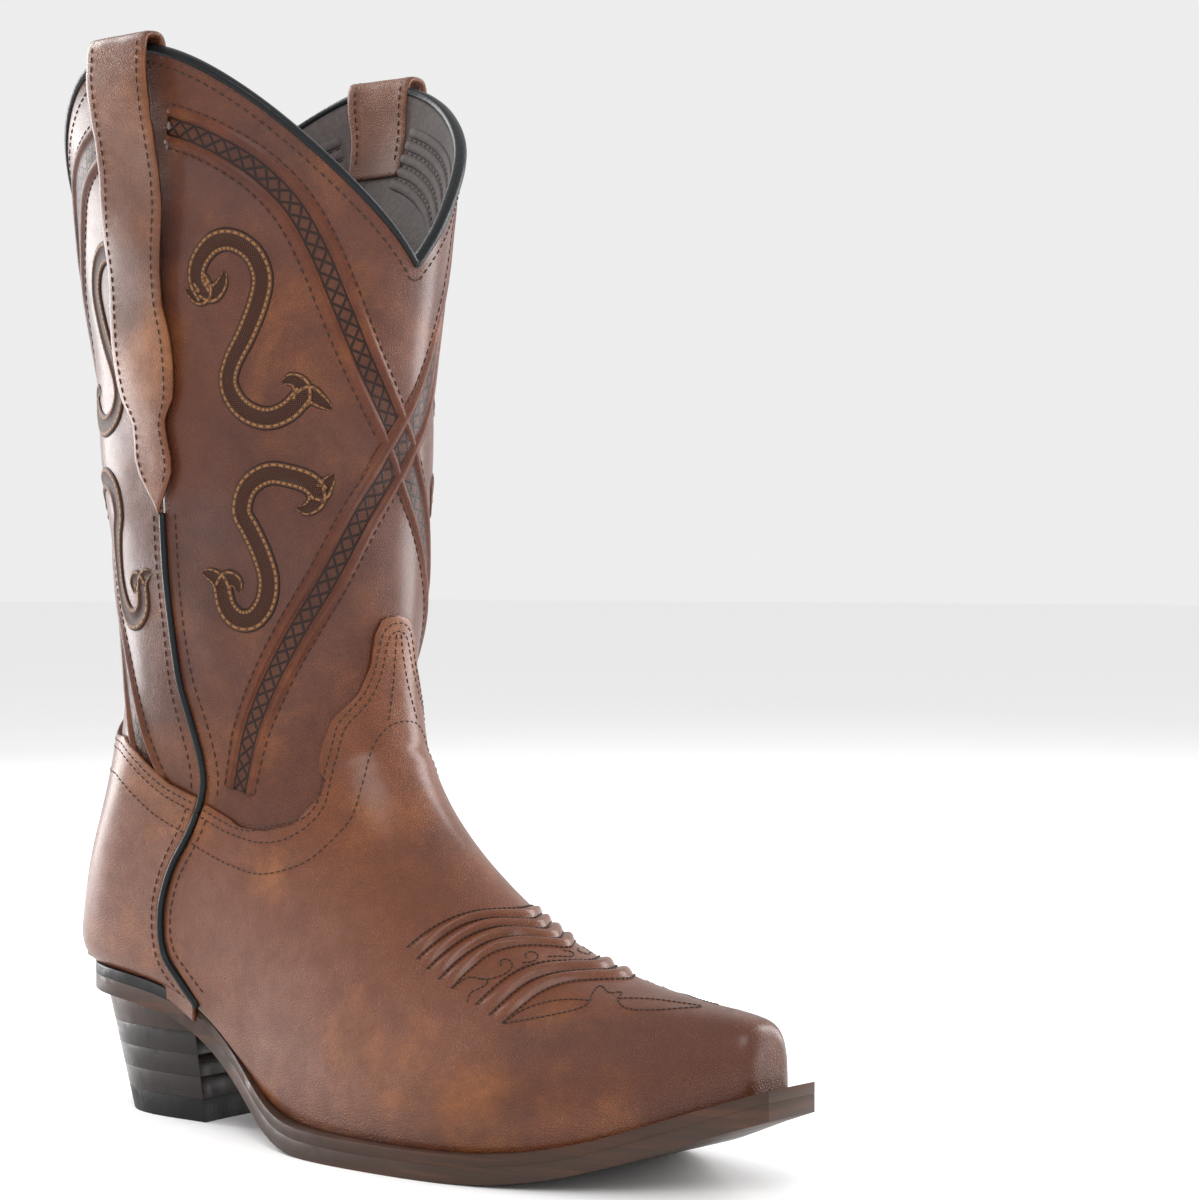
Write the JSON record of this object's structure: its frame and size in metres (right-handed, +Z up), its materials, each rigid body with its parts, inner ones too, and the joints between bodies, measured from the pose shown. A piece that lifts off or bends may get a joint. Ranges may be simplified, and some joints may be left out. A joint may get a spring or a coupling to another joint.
{
  "type": "cowboy boot",
  "caption": "Tall pull-on leather boot with a scalloped shaft, two pull straps, a narrow snipped toe, a welted leather sole and a raked stacked heel.",
  "frame": {"origin": "centre of the bounding box's bottom face, on the plane that heel and tread rest on", "axes": "+X from heel to toe, +Y towards the inner side of the foot, +Z up"},
  "size_m": [0.2804, 0.1252, 0.3365],
  "materials": {
    "vamp_leather": "burnished brown full-grain leather, waxed, semi-gloss",
    "counter_leather": "burnished brown full-grain leather, waxed, semi-gloss",
    "shaft_leather": "burnished brown full-grain leather with darker clouds, semi-gloss",
    "strap_leather": "brown leather with folded edges, semi-gloss",
    "scroll_leather": "dark brown embossed leather let in under tan stitching",
    "lining_leather": "soft taupe lining leather, matte",
    "piping_leather": "black piping leather, satin",
    "binding_leather": "black edge binding leather, satin",
    "insole_leather": "undyed vegetable tanned insole leather",
    "sock_leather": "tan sock leather, smooth",
    "stiffener_board": "pressed leather board",
    "toe_box_board": "thermoplastic toe puff sheet",
    "doubler_cloth": "cotton drill interlining",
    "welt_leather": "dark brown dyed welt, waxed edge",
    "rand_leather": "black heel rand, waxed",
    "sole_leather": "dark brown dyed sole leather with burnished edge",
    "heel_stack": "dark dyed stacked leather, burnished",
    "heel_rubber": "black rubber top piece",
    "shank_steel": "spring steel",
    "cork": "ground cork filler",
    "nail_steel": "steel nails",
    "brad_brass": "brass brads",
    "peg_wood": "lemonwood pegs"
  },
  "bodies": {
    "root": {"vamp": "vamp_leather", "heel_counter": "counter_leather", "shaft_front_panel": "shaft_leather", "shaft_back_panel": "shaft_leather", "heel_stiffener": "stiffener_board", "toe_box": "toe_box_board", "vamp_doubler": "doubler_cloth", "shaft_lining_front": "lining_leather", "shaft_lining_back": "lining_leather", "vamp_lining": "lining_leather", "heel_lining": "lining_leather", "side_piping_outer": "piping_leather", "side_piping_inner": "piping_leather", "top_binding_front": "binding_leather", "top_binding_back": "binding_leather", "pull_strap_outer": "strap_leather", "pull_strap_inner": "strap_leather", "welt": "welt_leather", "heel_rand": "rand_leather", "insole": "insole_leather", "sock_liner": "sock_leather", "steel_shank": "shank_steel", "cork_filler": "cork", "outsole": "sole_leather", "heel_cap": "heel_rubber", "heel_lift_1": "heel_stack", "heel_lift_2": "heel_stack", "heel_lift_3": "heel_stack", "heel_wedge": "heel_stack", "heel_nails": "nail_steel", "cap_brads": "brad_brass", "shank_pegs": "peg_wood", "scroll_high_front_outer": "scroll_leather", "scroll_high_front_inner": "scroll_leather", "scroll_high_back_outer": "scroll_leather", "scroll_high_back_inner": "scroll_leather", "scroll_low_front_outer": "scroll_leather", "scroll_low_front_inner": "scroll_leather", "scroll_low_back_outer": "scroll_leather", "scroll_low_back_inner": "scroll_leather"}
  },
  "joints": []
}
